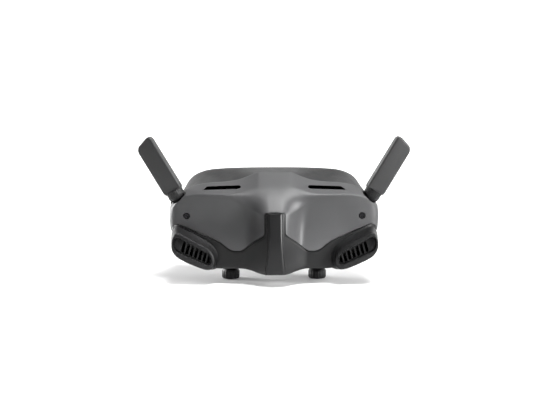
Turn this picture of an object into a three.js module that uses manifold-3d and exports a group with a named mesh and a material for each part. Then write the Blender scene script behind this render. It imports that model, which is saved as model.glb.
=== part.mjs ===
// Compact FPV goggles: a worn display with two folding antennas, two sliding and focusing eyepieces,
// fan cooling and a foam face seal.
// Millimetres. +X is the wearer's left, +Y points to the wearer's face, +Z is up.
// The origin is the middle of the depth, on the centre plane, level with the knobs' lower faces.

import * as THREE from "three";
import { mergeVertices } from "three/addons/utils/BufferGeometryUtils.js";
import Module from "manifold-3d";

const wasm = await Module();
wasm.setup();

// ---------------------------------------------------------------- driving dimensions

const HALF_WIDTH = 83.7; // widest point of the front cover
const SEAM_Y = -12; // plane where the front half meets the rear frame
const WALL = 2; // shell thickness
const GAP = 0.3; // clearance between neighbouring pieces

const CREASE_Z = 70.2; // brow line between the front face and the top ledge
const FACE_Y = -33.5; // front face at the centre, before the dish and the ridge
const CORNER_X = 68; // the side corner starts here
const COVER_LOW_Z = 24; // the cover's surface runs down to here before the seam cuts it
const NOSE_FRONT_Y = -52; // foremost point, on the nose strip
const FLOOR_Z = 12.3; // underside of the shell beside the nose

const IPD_REST = 70; // distance between the optical axes
const EYE_X = IPD_REST / 2;
const EYE_Z = 50; // height of the optical axes
const BARREL_R = 17;
const BARREL_Y = [-17, 11];
const KNOB_Y = -5;
const KNOB_R = 7.2;
const KNOB_H = 8.6;

const PINION_TEETH = 10;
const TOOTH_PITCH = 1.57; // module 0.5
const PINION_R = (PINION_TEETH * TOOTH_PITCH) / (2 * Math.PI);

const ANTENNA_PIVOT = [78.6, -15.5, 70.3];
const ANTENNA_TILT = 31; // degrees outward from vertical when unfolded
const ANTENNA_YAW = 14; // degrees that the blade's face turns outward
const HINGE_AXIS = [0, -0.8, 0.6];
const BLADE = { width: 15.8, thick: 7, low: 1.4, high: 49.8 };
const BALL_R = 6.6;

const FRAME_REAR_Y = 16; // rear edge of the frame at the forehead
const TEMPLE_SWEEP = 18; // how much further back the rear edge is at the temples
const FOAM_DEPTH = 18;

const FAN = { x: 62.6, z: 27, size: 14.2, y: [-25.5, -18.5] };

// ---------------------------------------------------------------- curves and interpolation

const lerp = (a, b, t) => a + (b - a) * t;
const clamp01 = (t) => Math.min(1, Math.max(0, t));
const smoothstep = (a, b, x) => {
  const t = clamp01((x - a) / (b - a));
  return t * t * (3 - 2 * t);
};
const smootherstep = (a, b, x) => {
  const t = clamp01((x - a) / (b - a));
  return t ** 3 * (6 * t * t - 15 * t + 10);
};
const cubicBezier = (a, b, c, d, t) => {
  const s = 1 - t;
  return s * s * s * a + 3 * s * s * t * b + 3 * s * t * t * c + t * t * t * d;
};

// A smooth function through [x, y] knots, flat beyond its ends.
function through(knots) {
  const slope = (i) => {
    const a = knots[Math.max(0, i - 1)];
    const b = knots[Math.min(knots.length - 1, i + 1)];
    return (b[1] - a[1]) / (b[0] - a[0]);
  };
  return (x) => {
    if (x <= knots[0][0]) return knots[0][1];
    if (x >= knots.at(-1)[0]) return knots.at(-1)[1];
    const i = knots.findIndex((k) => k[0] > x) - 1;
    const h = knots[i + 1][0] - knots[i][0];
    const t = (x - knots[i][0]) / h;
    const [m0, m1] = [slope(i) * h, slope(i + 1) * h];
    const [c, d] = [knots[i][1], knots[i + 1][1]];
    const t2 = t * t;
    const t3 = t2 * t;
    return c * (2 * t3 - 3 * t2 + 1) + m0 * (t3 - 2 * t2 + t) + d * (3 * t2 - 2 * t3) + m1 * (t3 - t2);
  };
}

// A closed smooth loop through [x, z] points, as count evenly parametrised points.
function loop(points, count) {
  const curve = new THREE.CatmullRomCurve3(
    points.map(([x, z]) => new THREE.Vector3(x, z, 0)),
    true,
    "catmullrom",
    0.5,
  );
  return Array.from({ length: count }, (_, i) => {
    const p = curve.getPoint(i / count);
    return [p.x, p.y];
  });
}

// The right half of an outline, from top centre to bottom centre, completed by its mirror image.
const mirrored = (half) => [...half, ...half.slice(1, -1).reverse().map(([x, z]) => [-x, z])];

// Moves each point of a closed [x, z] loop inward by its own distance.
function insetLoop(points, distance) {
  const n = points.length;
  const area = points.reduce((s, p, i) => s + p[0] * points[(i + 1) % n][1] - points[(i + 1) % n][0] * p[1], 0);
  return points.map((p, i) => {
    const a = points[(i + n - 1) % n];
    const b = points[(i + 1) % n];
    const length = Math.hypot(b[0] - a[0], b[1] - a[1]);
    const d = (typeof distance === "function" ? distance(p) : distance) * Math.sign(area);
    return [p[0] - ((b[1] - a[1]) / length) * d, p[1] + ((b[0] - a[0]) / length) * d];
  });
}

// ---------------------------------------------------------------- solids

function solidOf(geometry) {
  const plain = geometry.index ? geometry.toNonIndexed() : geometry.clone();
  const merged = mergeVertices(new THREE.BufferGeometry().setAttribute("position", plain.getAttribute("position")), 1e-4);
  return new wasm.Manifold(
    new wasm.Mesh({
      numProp: 3,
      vertProperties: merged.attributes.position.array,
      triVerts: new Uint32Array(merged.index.array),
    }),
  );
}

function geometryOf(solid) {
  const mesh = solid.getMesh();
  const geometry = new THREE.BufferGeometry();
  const positions = new Float32Array(mesh.numVert * 3);
  for (let i = 0; i < mesh.numVert; i++) {
    positions.set(mesh.vertProperties.subarray(i * mesh.numProp, i * mesh.numProp + 3), i * 3);
  }
  geometry.setAttribute("position", new THREE.BufferAttribute(positions, 3));
  geometry.setIndex(new THREE.BufferAttribute(mesh.triVerts, 1));
  return geometry;
}

const union = (...solids) => solids.reduce((a, b) => a.add(b));
const cut = (solid, ...tools) => tools.reduce((a, b) => a.subtract(b), solid);

const AXES = {
  x: new THREE.Matrix4().makeBasis(new THREE.Vector3(0, 1, 0), new THREE.Vector3(0, 0, 1), new THREE.Vector3(1, 0, 0)),
  y: new THREE.Matrix4().makeBasis(new THREE.Vector3(1, 0, 0), new THREE.Vector3(0, 0, 1), new THREE.Vector3(0, -1, 0)),
  z: new THREE.Matrix4(),
};

function box([x0, x1], [y0, y1], [z0, z1]) {
  const g = new THREE.BoxGeometry(x1 - x0, y1 - y0, z1 - z0);
  return solidOf(g.translate((x0 + x1) / 2, (y0 + y1) / 2, (z0 + z1) / 2));
}

// A disc or tube section along an axis through [x, y, z], running from one coordinate on that axis to another.
function rod(axis, centre, [from, to], radius, radiusEnd = radius, sides = 20) {
  const g = new THREE.CylinderGeometry(radiusEnd, radius, to - from, sides);
  if (axis === "x") g.rotateZ(-Math.PI / 2);
  if (axis === "z") g.rotateX(Math.PI / 2);
  const p = [...centre];
  p["xyz".indexOf(axis)] = (from + to) / 2;
  return solidOf(g.translate(...p));
}

// A prism: points are [x, z] for axis y, [y, z] for axis x and [x, y] for axis z.
function prism(axis, points, [from, to], bevel = 0) {
  const shape = points.isPath ? points : new THREE.Shape(points.map(([a, b]) => new THREE.Vector2(a, b)));
  const g = new THREE.ExtrudeGeometry(shape, {
    depth: to - from - 2 * bevel,
    bevelEnabled: bevel > 0,
    bevelSize: bevel,
    bevelThickness: bevel,
    bevelOffset: -bevel,
    bevelSegments: 1,
    curveSegments: 3,
  });
  g.translate(0, 0, bevel + (axis === "y" ? -to : from));
  return solidOf(g.applyMatrix4(AXES[axis]));
}

// A rectangle with round corners, centred on [a, b].
function roundedRect([a, b], width, height, radius) {
  const [x, y, r] = [a - width / 2, b - height / 2, Math.min(radius, width / 2 - 0.01, height / 2 - 0.01)];
  const s = new THREE.Shape();
  s.moveTo(x + r, y);
  s.lineTo(x + width - r, y);
  s.absarc(x + width - r, y + r, r, -Math.PI / 2, 0);
  s.lineTo(x + width, y + height - r);
  s.absarc(x + width - r, y + height - r, r, 0, Math.PI / 2);
  s.lineTo(x + r, y + height);
  s.absarc(x + r, y + height - r, r, Math.PI / 2, Math.PI);
  s.lineTo(x, y + r);
  s.absarc(x + r, y + r, r, Math.PI, 1.5 * Math.PI);
  s.isPath = true;
  return s;
}

// A closed mesh over a grid of points [x, y, z]: rows of equal length, closed across, and closed along or capped.
function gridSolid(rows, closedAlong) {
  const [n, m] = [rows.length, rows[0].length];
  const flat = rows.flat();
  const triangles = [];
  const quad = (a, b, c, d) => triangles.push(a, b, c, a, c, d);
  for (let i = 0; i < (closedAlong ? n : n - 1); i++) {
    for (let j = 0; j < m; j++) {
      const [i2, j2] = [(i + 1) % n, (j + 1) % m];
      quad(i * m + j, i * m + j2, i2 * m + j2, i2 * m + j);
    }
  }
  if (!closedAlong) {
    for (const [row, flip] of [[0, true], [n - 1, false]]) {
      const centre = [0, 1, 2].map((k) => rows[row].reduce((s, p) => s + p[k], 0) / m);
      flat.push(centre);
      for (let j = 0; j < m; j++) {
        const [a, b] = [row * m + j, row * m + ((j + 1) % m)];
        triangles.push(...(flip ? [flat.length - 1, b, a] : [flat.length - 1, a, b]));
      }
    }
  }
  const volume = triangles.reduce((sum, _, t) => {
    if (t % 3) return sum;
    const [a, b, c] = [flat[triangles[t]], flat[triangles[t + 1]], flat[triangles[t + 2]]];
    return sum + a[0] * (b[1] * c[2] - b[2] * c[1]) + a[1] * (b[2] * c[0] - b[0] * c[2]) + a[2] * (b[0] * c[1] - b[1] * c[0]);
  }, 0);
  if (volume < 0) for (let t = 0; t < triangles.length; t += 3) [triangles[t], triangles[t + 1]] = [triangles[t + 1], triangles[t]];
  return new wasm.Manifold(
    new wasm.Mesh({ numProp: 3, vertProperties: new Float32Array(flat.flat()), triVerts: new Uint32Array(triangles) }),
  );
}

// A shell between an outer and an inner four-sided surface, each point(u, v), that share no border points.
function shellBetween(outer, inner, us, vs) {
  const around = (u) => [...vs.map((v) => outer(u, v)), ...[...vs].reverse().map((v) => inner(u, v))];
  return gridSolid(us.map(around), false);
}

const mirrorX = (solid) => solid.mirror([1, 0, 0]);

// The left half of a solid, completed by its own mirror image.
function symmetric(solid) {
  const half = solid.intersect(box([0, 150], [-150, 150], [-50, 200]));
  return half.add(mirrorX(half));
}

// ---------------------------------------------------------------- front shell surfaces

const topEdge = through([
  [0, 87.2], [10, 87.2], [13.6, 86.8], [20, 84.3], [28, 81.4], [35, 80], [41, 79.3], [56, 78.2], [66, 76],
  [74, 72.2], [80, 67], [HALF_WIDTH, 60],
]);
const creaseHeight = through([[0, CREASE_Z], [60, CREASE_Z], [70, 68.9], [77, 65.8], [HALF_WIDTH, 57]]);
const halfWidthAt = through([[24, 79], [36, 82.2], [51, HALF_WIDTH], [62, 82.8], [68, 82], [90, 82]]);
const creaseRadius = (x) => 1.4 + 12 * (1 - smoothstep(8, 42, x));

// Depth of the front face: a dished sheet with a ridge down the middle that fades out at the brow.
function faceDepth(x, z) {
  const drop = CREASE_Z - z;
  const dish = 3 * (1 - ((drop - 17) / 17) ** 2) * (1 - 0.6 * smoothstep(50, 75, x));
  const ridgeHeight = 2 + 16.5 * (1 - Math.exp(-Math.max(0, drop) / 10));
  const ridgeFoot = 25 + 18 * Math.exp(-Math.max(0, drop) / 8);
  const ridge = ridgeHeight * (1 - smootherstep(3, ridgeFoot, x));
  return FACE_Y + 0.002 * x * x + dish - ridge;
}

// Where a station u, from 0 at the centre to 1 at the side seam, lies across the width, and how far round the corner.
const CORNER_U = 0.72;
function station(u) {
  const w = Math.max(0, (u - CORNER_U) / (1 - CORNER_U));
  const x = u < CORNER_U ? (CORNER_X * u) / CORNER_U : cubicBezier(CORNER_X, 77, HALF_WIDTH, HALF_WIDTH, w);
  return { x, w };
}
function plan(depth, { x, w }, z, inset) {
  if (w === 0) return depth(x, z) + inset;
  const start = depth(CORNER_X, z) + inset;
  return cubicBezier(start, start + 2.4, SEAM_Y - 9, SEAM_Y, w);
}

// The surface of the front half above the seam: face, then the brow's bend, then the top ledge. v runs from 0 to 1.
const FACE_V = 0.6;
const LEDGE_V = 0.8;
function coverPoint(u, v, inset = 0) {
  const s = station(Math.abs(u));
  const creaseZ = creaseHeight(s.x) - 0.6 * inset;
  const bend = Math.min(creaseRadius(s.x), 40);
  const y = (z) => plan(faceDepth, s, z, inset);
  const crease = [y(creaseZ), creaseZ];
  const back = [SEAM_Y, topEdge(s.x) - inset];
  const run = Math.hypot(back[0] - crease[0], back[1] - crease[1]);
  const reach = Math.min(bend, 0.8 * run) / run;
  const ledge = [lerp(crease[0], back[0], reach), lerp(crease[1], back[1], reach)];
  let p;
  if (v < FACE_V) {
    const z = lerp(COVER_LOW_Z, creaseZ - bend, v / FACE_V);
    p = [y(z), z];
  } else if (v < LEDGE_V) {
    const t = (v - FACE_V) / (LEDGE_V - FACE_V);
    const start = [y(creaseZ - bend), creaseZ - bend];
    p = [0, 1].map((k) => (1 - t) ** 2 * start[k] + 2 * t * (1 - t) * crease[k] + t * t * ledge[k]);
  } else {
    const t = (v - LEDGE_V) / (1 - LEDGE_V);
    p = [0, 1].map((k) => lerp(ledge[k], back[k], t));
  }
  const x = (s.x * (halfWidthAt(p[1]) - inset)) / HALF_WIDTH;
  return [Math.sign(u) * x, p[0], p[1]];
}

// Nose and lower front: the nose strip's depth, its half width, and the flank that falls back beside it.
const noseDepth = through([[8, -49.6], [13, -51.4], [30, NOSE_FRONT_Y], [42, -50.6], [58, -46.6], [62, -45]]);
const noseHalfWidth = through([[8, 7.9], [12, 7.5], [34, 5.7], [62, 5.5]]);
const FLANK_FOOT_X = 28;
const floorHeight = through([
  [0, 9.5], [8, 9.5], [13, 9.9], [21, 11.6], [27, FLOOR_Z], [50, FLOOR_Z], [62, 15.5], [72, 22], [80, 32],
  [HALF_WIDTH, 40],
]);
function lowerDepth(x, z) {
  const outer = (a) => -37 + 0.002 * a * a;
  if (x >= FLANK_FOOT_X) return outer(x);
  const half = noseHalfWidth(z);
  const t = clamp01((x - half) / (FLANK_FOOT_X - half));
  return lerp(noseDepth(z), outer(FLANK_FOOT_X), 1 - (1 - t) ** 1.5);
}

// The surface of the lower front half: down the front, round the lower edge, and back under the floor.
const SHROUD_TOP_Z = 61;
function shroudPoint(u, v, inset = 0) {
  const s = station(Math.abs(u));
  const floor = floorHeight(s.x) + inset;
  const bend = 3;
  const y = (z) => plan(lowerDepth, s, z, inset);
  const edge = [y(floor), floor];
  const rear = [SEAM_Y, Math.max(floor, FLOOR_Z + inset)];
  const reach = Math.min(bend, 0.6 * (rear[0] - edge[0]));
  let p;
  if (v < 0.6) {
    const z = lerp(SHROUD_TOP_Z, floor + bend, v / 0.6);
    p = [y(z), z];
  } else if (v < 0.8) {
    const t = (v - 0.6) / 0.2;
    const start = [y(floor + bend), floor + bend];
    const end = [edge[0] + reach, edge[1]];
    p = [0, 1].map((k) => (1 - t) ** 2 * start[k] + 2 * t * (1 - t) * edge[k] + t * t * end[k]);
  } else {
    const t = (v - 0.8) / 0.2;
    p = [lerp(edge[0] + reach, rear[0], t), lerp(edge[1], rear[1], t)];
  }
  const x = (s.x * (halfWidthAt(Math.max(24, p[1])) - 0.6 - inset)) / HALF_WIDTH;
  return [Math.sign(u) * x, p[0], p[1]];
}

const spaced = (stops) =>
  stops.slice(1).flatMap(([end, steps], i) => {
    const start = stops[i][0];
    return Array.from({ length: steps }, (_, k) => start + ((k + 1) * (end - start)) / steps);
  });
const positiveStations = spaced([[0], [0.08, 2], [0.4, 10], [CORNER_U, 4], [1, 5]]);
const STATIONS = [...positiveStations.map((u) => -u).reverse(), 1e-6, ...positiveStations];
const COVER_ROWS = [0, ...spaced([[0], [FACE_V, 8], [LEDGE_V, 3], [1, 2]])];
const SHROUD_ROWS = [0, ...spaced([[0], [0.6, 5], [0.8, 2], [1, 1]])];

// The seam between the grey cover and the dark lower trim, seen from the front: right half, top to side.
const SEAM_HALF = [
  [5.6, 58.2, 2], [8.3, 57.6, 2], [8.3, 41.4, 1.5], [26, 27, 2.5], [34, 26.8, 4], [45, 34.6, 5], [77.4, 46.7, 3],
  [80.8, 45.2, 2.4], [82.5, 39.4, 1.2], [90, 38.6, 1],
];
// The region below the seam, grown outward by grow, as a prism through the whole depth.
function belowSeam(grow) {
  const half = SEAM_HALF.map(([x, z, r]) => [x + (x < 30 ? grow : 0), z + grow, r]);
  const s = new THREE.Shape();
  s.moveTo(0, half[0][1]);
  const walk = [...half, [90, -10, 1]];
  const corner = (a, b, c) => {
    const cutBack = (p, q, r) => {
      const d = Math.hypot(q[0] - p[0], q[1] - p[1]);
      const t = Math.min(0.5, r / d);
      return [lerp(p[0], q[0], t), lerp(p[1], q[1], t)];
    };
    const [p, q] = [cutBack(b, a, b[2]), cutBack(b, c, b[2])];
    s.lineTo(...p);
    s.quadraticCurveTo(b[0], b[1], ...q);
  };
  walk.forEach((b, i) => {
    if (i > 0 && i < walk.length - 1) corner(walk[i - 1], b, walk[i + 1]);
  });
  s.lineTo(90, -10);
  s.lineTo(0, -10);
  s.closePath();
  s.isPath = true;
  const right = prism("y", s, [-70, 20]);
  return right.add(mirrorX(right));
}

// ---------------------------------------------------------------- vent cowls

const COWL_ROOT = [
  [41, 21.7], [43.5, 30.4], [50, 35], [60, 39], [70, 42.6], [77, 44.4], [81.2, 40.7], [82, 32.7], [80.3, 24.8],
  [73, 17.6], [62, 12.9], [52, 10.3], [44.5, 12.4],
];
const COWL_LIP = [
  [47.4, 18.8], [48.7, 24.4], [51.9, 28.7], [57.4, 32.2], [63.1, 35.2], [68.9, 38.4], [74.6, 41.4], [78.2, 41],
  [80.5, 37.6], [81.3, 32.2], [80.2, 27], [76.8, 22.5], [71.2, 19.2], [63.2, 15.6], [54.5, 12.6], [49.6, 13.4],
];
const COWL_MOUTH = [
  [49.9, 20], [50.9, 23.8], [53.8, 26.4], [59.1, 29.2], [64.9, 32.4], [71.5, 36], [76.4, 38], [79, 36.6],
  [79.6, 32.6], [78.4, 28.6], [74.8, 26], [69.5, 23.6], [62.6, 20.6], [56.3, 17.6], [52.9, 16.6], [50.8, 17.4],
];
const COWL_LIP_Y = -40.5;
const COWL_POINTS = 28;

function loftAlongY(sections) {
  return gridSolid(sections.map(([y, points]) => points.map(([x, z]) => [x, y, z])), false);
}

function cowl() {
  const root = loop(COWL_ROOT, COWL_POINTS);
  const lip = loop(COWL_LIP, COWL_POINTS);
  const between = (t) => root.map((p, i) => [lerp(p[0], lip[i][0], t), lerp(p[1], lip[i][1], t)]);
  return loftAlongY([
    [SEAM_Y - 1, root],
    [-25, root],
    [-33, between(0.62)],
    [COWL_LIP_Y + 1.2, between(0.97)],
    [COWL_LIP_Y, insetLoop(lip, 0.9)],
  ]);
}

function cowlCavity() {
  const root = loop(COWL_ROOT, COWL_POINTS);
  const mouth = loop(COWL_MOUTH, COWL_POINTS);
  return loftAlongY([
    [SEAM_Y - 3, insetLoop(root, WALL)],
    [-26, insetLoop(root, WALL + 0.4)],
    [-34, mouth],
    [COWL_LIP_Y - 1, mouth],
  ]);
}

const GRILLE_Y = [-38, -34.4];
const SLAT_PITCH = 3.3;
const SLAT_WIDTH = 0.9;
function ventGrille() {
  const plate = loftAlongY(GRILLE_Y.map((y) => [y, insetLoop(loop(COWL_MOUTH, COWL_POINTS), GAP)]));
  const window = loftAlongY([GRILLE_Y[0] - 1, GRILLE_Y[1] + 1].map((y) => [y, insetLoop(loop(COWL_MOUTH, COWL_POINTS), 0.9)]));
  const slots = Array.from({ length: 7 }, (_, i) => {
    const g = new THREE.BoxGeometry(SLAT_PITCH - SLAT_WIDTH, 6, 22);
    g.rotateY(-0.26);
    return solidOf(g.translate(51.9 + i * SLAT_PITCH, (GRILLE_Y[0] + GRILLE_Y[1]) / 2, 20.6 + i * 1.62));
  });
  return cut(plate, window.intersect(union(...slots)));
}

// ---------------------------------------------------------------- front pieces

const STRIP_ROWS = 11;
function stripLoft(side, front, back) {
  const rows = Array.from({ length: STRIP_ROWS }, (_, i) => {
    const z = lerp(10.4, 57.4, i / (STRIP_ROWS - 1));
    const [half, y] = [noseHalfWidth(z) - side, noseDepth(z)];
    return [[-half, y + front, z], [half, y + front, z], [half, y + back, z], [-half, y + back, z]];
  });
  return gridSolid(rows, false);
}

const TOP_SLOT = [[29.7, 74.3], [26.6, 75.1], [26.7, 76.6], [27.8, 77.1], [53.3, 75.9], [57, 73.2]];
const SCREW_X = 69.8;
const SCREW_Z = 52.9;

function frontCover() {
  const shell = shellBetween((u, v) => coverPoint(u, v), (u, v) => coverPoint(u, v, WALL), STATIONS, COVER_ROWS);
  const slot = prism("y", TOP_SLOT, [-50, 0]);
  const screwHole = rod("y", [SCREW_X, 0, SCREW_Z], [-60, 0], 2.8);
  const ball = antennaPocket();
  const tools = [slot, screwHole, ball].flatMap((t) => [t, mirrorX(t)]);
  return cut(shell, belowSeam(0), ...tools);
}

function lowerShroud() {
  const shell = shellBetween((u, v) => shroudPoint(u, v), (u, v) => shroudPoint(u, v, WALL), STATIONS, SHROUD_ROWS);
  const cowls = [cowl(), mirrorX(cowl())];
  const cavities = [cowlCavity(), mirrorX(cowlCavity())];
  const pocket = stripLoft(-GAP, -6, 1.2 + GAP);
  const body = cut(union(shell, ...cowls), ...cavities, pocket);
  return body.intersect(belowSeam(-GAP));
}

// ---------------------------------------------------------------- rear frame, seal and plate

const FRAME_FRONT = mirrored([
  [0, 85.4], [13.5, 85.1], [26, 80.2], [41, 77.8], [56, 76.8], [67, 73.6], [75.5, 68.4], [80.8, 60], [82, 50],
  [80.6, 38], [74.6, 26.6], [65, 19], [50, 14], [30, 13.4], [15, 13.4], [0, 13.4],
]);
const FRAME_REAR = mirrored([
  [0, 88], [20, 87.9], [38, 87.2], [51, 86.1], [61, 83], [68, 78], [73, 70], [76.5, 60], [77.5, 50],
  [76.5, 40], [73, 30], [64, 21.5], [50, 17], [32, 16.5], [17, 27], [0, 41],
]);
const RING_POINTS = 56;
const rearY = (x) => FRAME_REAR_Y + TEMPLE_SWEEP * (Math.abs(x) / 77.5) ** 3;

const frameFront = loop(FRAME_FRONT, RING_POINTS);
const frameRear = loop(FRAME_REAR, RING_POINTS);

function ringSolid(section) {
  return gridSolid(frameRear.map((_, i) => section(i)), true);
}

function rearFrame() {
  const frontIn = insetLoop(frameFront, WALL);
  const rearIn = insetLoop(frameRear, WALL);
  const y0 = SEAM_Y + GAP;
  return ringSolid((i) => {
    const y1 = rearY(frameRear[i][0]);
    return [
      [frameFront[i][0], y0, frameFront[i][1]],
      [frameRear[i][0], y1, frameRear[i][1]],
      [rearIn[i][0], y1, rearIn[i][1]],
      [frontIn[i][0], y0, frontIn[i][1]],
    ];
  });
}

// How wide and deep the foam is round the ring: full at brow and cheeks, slim over the nose.
const overNose = ([x, z]) => (1 - smoothstep(14, 34, Math.abs(x))) * (z < 55 ? 1 : 0);
function faceFoam() {
  const width = (p) => lerp(13, 5, overNose(p));
  const depth = (p) => lerp(FOAM_DEPTH, 9, overNose(p));
  const outer = insetLoop(frameRear, 0.6);
  const shares = [0, 0.5, 1];
  const rings = shares.map((s) => insetLoop(frameRear, (p) => 0.6 + width(p) * s));
  return ringSolid((i) => {
    const base = rearY(frameRear[i][0]) + GAP;
    const d = depth(frameRear[i]) - GAP;
    return [
      [outer[i][0], base, outer[i][1]],
      [outer[i][0], base + 0.75 * d, outer[i][1]],
      [lerp(rings[0][i][0], rings[1][i][0], 0.5), base + 0.96 * d, lerp(rings[0][i][1], rings[1][i][1], 0.5)],
      [rings[1][i][0], base + d, rings[1][i][1]],
      [lerp(rings[1][i][0], rings[2][i][0], 0.6), base + 0.9 * d, lerp(rings[1][i][1], rings[2][i][1], 0.6)],
      [rings[2][i][0], base + 0.6 * d, rings[2][i][1]],
      [rings[2][i][0], base, rings[2][i][1]],
    ];
  });
}

const PLATE_Y = [11.6, 13.6];
function facePlate() {
  const outline = frameRear.map((p, i) => {
    const t = (PLATE_Y[1] - SEAM_Y) / (rearY(p[0]) - SEAM_Y);
    return [lerp(frameFront[i][0], p[0], t), lerp(frameFront[i][1], p[1], t)];
  });
  const plate = loftAlongY(PLATE_Y.map((y) => [y, insetLoop(outline, WALL + GAP + 1.1)]));
  const windows = [1, -1].map((side) =>
    prism("y", roundedRect([side * (EYE_X - 2.75), EYE_Z], 44, 36, 18), [0, 30]),
  );
  return cut(plate, ...windows, rod("y", [0, 0, 66], [0, 30], 3 + GAP));
}

// ---------------------------------------------------------------- antennas

// The antenna's own frame: +Z up the blade from the pivot, -Y the face seen from the front.
function antennaPlacement(side) {
  const m = new THREE.Matrix4().makeTranslation(side * ANTENNA_PIVOT[0], ANTENNA_PIVOT[1], ANTENNA_PIVOT[2]);
  m.multiply(new THREE.Matrix4().makeRotationY(side * THREE.MathUtils.degToRad(ANTENNA_TILT)));
  m.multiply(new THREE.Matrix4().makeRotationZ(side * THREE.MathUtils.degToRad(ANTENNA_YAW)));
  return m;
}
const placed = (solid, matrix) => solidOf(geometryOf(solid).applyMatrix4(matrix));

// A ball, as a lathed half circle.
function ball(radius, centre, sides = 16) {
  const arc = Array.from({ length: 9 }, (_, i) => {
    const a = -Math.PI / 2 + (Math.PI * i) / 8;
    return new THREE.Vector2(i % 8 ? radius * Math.cos(a) : 0, radius * Math.sin(a));
  });
  return solidOf(new THREE.LatheGeometry(arc, sides).translate(...centre));
}
const antennaPocket = () => ball(BALL_R + 1.8, ANTENNA_PIVOT);

function antennaBlade(side) {
  const { width, thick, low, high } = BLADE;
  const half = width / 2;
  // The tip is cut at a slant: the inner corner stands higher than the outer one.
  const outline = new THREE.Shape();
  outline.moveTo(-half, low + 3);
  outline.quadraticCurveTo(-half, low, -half + 3, low);
  outline.lineTo(half - 4, low);
  outline.quadraticCurveTo(half, low, half, low + 4);
  outline.lineTo(half, high - 8.5);
  outline.quadraticCurveTo(half, high - 4.5, half - 3.2, high - 2.6);
  outline.lineTo(-half + 4.6, high - 0.2);
  outline.quadraticCurveTo(-half, high + 0.6, -half, high - 4.5);
  outline.closePath();
  outline.isPath = true;
  const blade = prism("y", outline, [-thick / 2 - 0.6, thick / 2 - 0.6], 1.3);
  const lowerBall = cut(ball(BALL_R, [0, 0, 0]), box([-9, 9], [-9, 9], [0, 9]));
  const knuckle = union(lowerBall, rod("z", [0, 0, 0], [-2.6, 3], BALL_R - 0.3, BALL_R + 0.3, 24));
  const local = union(side > 0 ? blade : mirrorX(blade), knuckle);
  return cut(placed(local, antennaPlacement(side)), antennaPinRod(side, 1.2 + GAP));
}

// The cup behind the knuckle that holds the hinge pin.
function antennaSocket(side) {
  const centre = [side * ANTENNA_PIVOT[0], ANTENNA_PIVOT[1], ANTENNA_PIVOT[2]];
  const shell = cut(ball(BALL_R + 1.5, centre), ball(BALL_R + 0.5, centre));
  return cut(shell.intersect(antennaPinRod(side, 9, [-12, -5.4])), antennaPinRod(side, 1.2 + GAP));
}

// The pin's own line passes through the pivot along the hinge axis.
function antennaPinRod(side, radius, [from, to] = [-12, 30]) {
  const axis = new THREE.Vector3(...HINGE_AXIS);
  const turn = new THREE.Quaternion().setFromUnitVectors(new THREE.Vector3(0, 1, 0), axis);
  const g = new THREE.CylinderGeometry(radius, radius, to - from, 16).translate(0, (from + to) / 2, 0);
  g.applyQuaternion(turn).translate(side * ANTENNA_PIVOT[0], ANTENNA_PIVOT[1], ANTENNA_PIVOT[2]);
  return solidOf(g);
}

// ---------------------------------------------------------------- fasteners, strap lugs and controls

function frontScrew() {
  const head = rod("y", [SCREW_X, 0, SCREW_Z], [-21, -19.2], 2.3);
  const shank = rod("y", [SCREW_X, 0, SCREW_Z], [-19.2, -13], 1.1, 1.1, 12);
  const drive = prism("y", hexagon(SCREW_X, SCREW_Z, 1.1), [-23, -20]);
  return cut(union(head, shank), drive);
}

const hexagon = (x, z, radius) =>
  Array.from({ length: 6 }, (_, i) => [x + radius * Math.cos((i * Math.PI) / 3), z + radius * Math.sin((i * Math.PI) / 3)]);

const LUG = { x: [81.3, 83.5], y: [9, 21], z: [39, 63] };
function strapLug() {
  const [yc, zc] = [(LUG.y[0] + LUG.y[1]) / 2, (LUG.z[0] + LUG.z[1]) / 2];
  const plate = prism("x", roundedRect([yc, zc], 12, 24, 3), LUG.x, 0.5);
  const slot = prism("x", roundedRect([yc, zc], 5, 16, 1.5), [80, 86]);
  const foot = box([80.2, 82], [9.5, 11.5], [45, 57]);
  return cut(union(plate, foot), slot);
}

// The touch pad on the wearer's right temple and the three sockets on the left one share this place.
const TEMPLE_Y = [-8.5, 6.5];
const touchPad = () => prism("x", roundedRect([-1, 52], 15, 22, 4), [78.6, 83.2], 0.6);
const touchPadHole = () => prism("x", roundedRect([-1, 52], 15.6, 22.6, 4.3), [70, 90]);
const SOCKETS = {
  card_socket: { z: 58.5, height: 2.6, width: 12.4, hole: [11, 1.2] },
  power_port: { z: 51, height: 4.4, width: 10.4, hole: [8.6, 2.6] },
};
const AUDIO = { z: 43, r: 3.1, hole: 1.8 };
function socket({ z, height, width, hole }) {
  const body = prism("x", roundedRect([-1, z], width, height, height / 2), [74, 82]);
  return cut(body, prism("x", roundedRect([-1, z], hole[0], hole[1], hole[1] / 2), [76, 84]));
}
const socketHole = ({ z, height, width }) =>
  prism("x", roundedRect([-1, z], width + 2 * GAP, height + 2 * GAP, height / 2 + GAP), [70, 90]);

const BUTTONS = { back_button: [-51, 3.4], link_button: [51, 2.6] }; // x and radius, in the frame's underside
const BUTTON_Y = -3;
const BUTTON_FACE_Z = 13.8;
function button([x, r]) {
  const [low, high] = [BUTTON_FACE_Z, BUTTON_FACE_Z + 6.6];
  return union(rod("z", [x, BUTTON_Y, 0], [low, high], r), rod("z", [x, BUTTON_Y, 0], [high - 1.2, high], r + 1));
}
const buttonHole = ([x, r]) => rod("z", [x, BUTTON_Y, 0], [5, 19], r + GAP);

// ---------------------------------------------------------------- inside: chassis, boards and cooling

const ROD_Z = { upper: 69.2, lower: 30.6 };
const ROD_R = 1.5;
const ROD_Y = 7;
const ROD_HALF = 61;
const CHASSIS_Y = [-20.3, -18.8];

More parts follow.
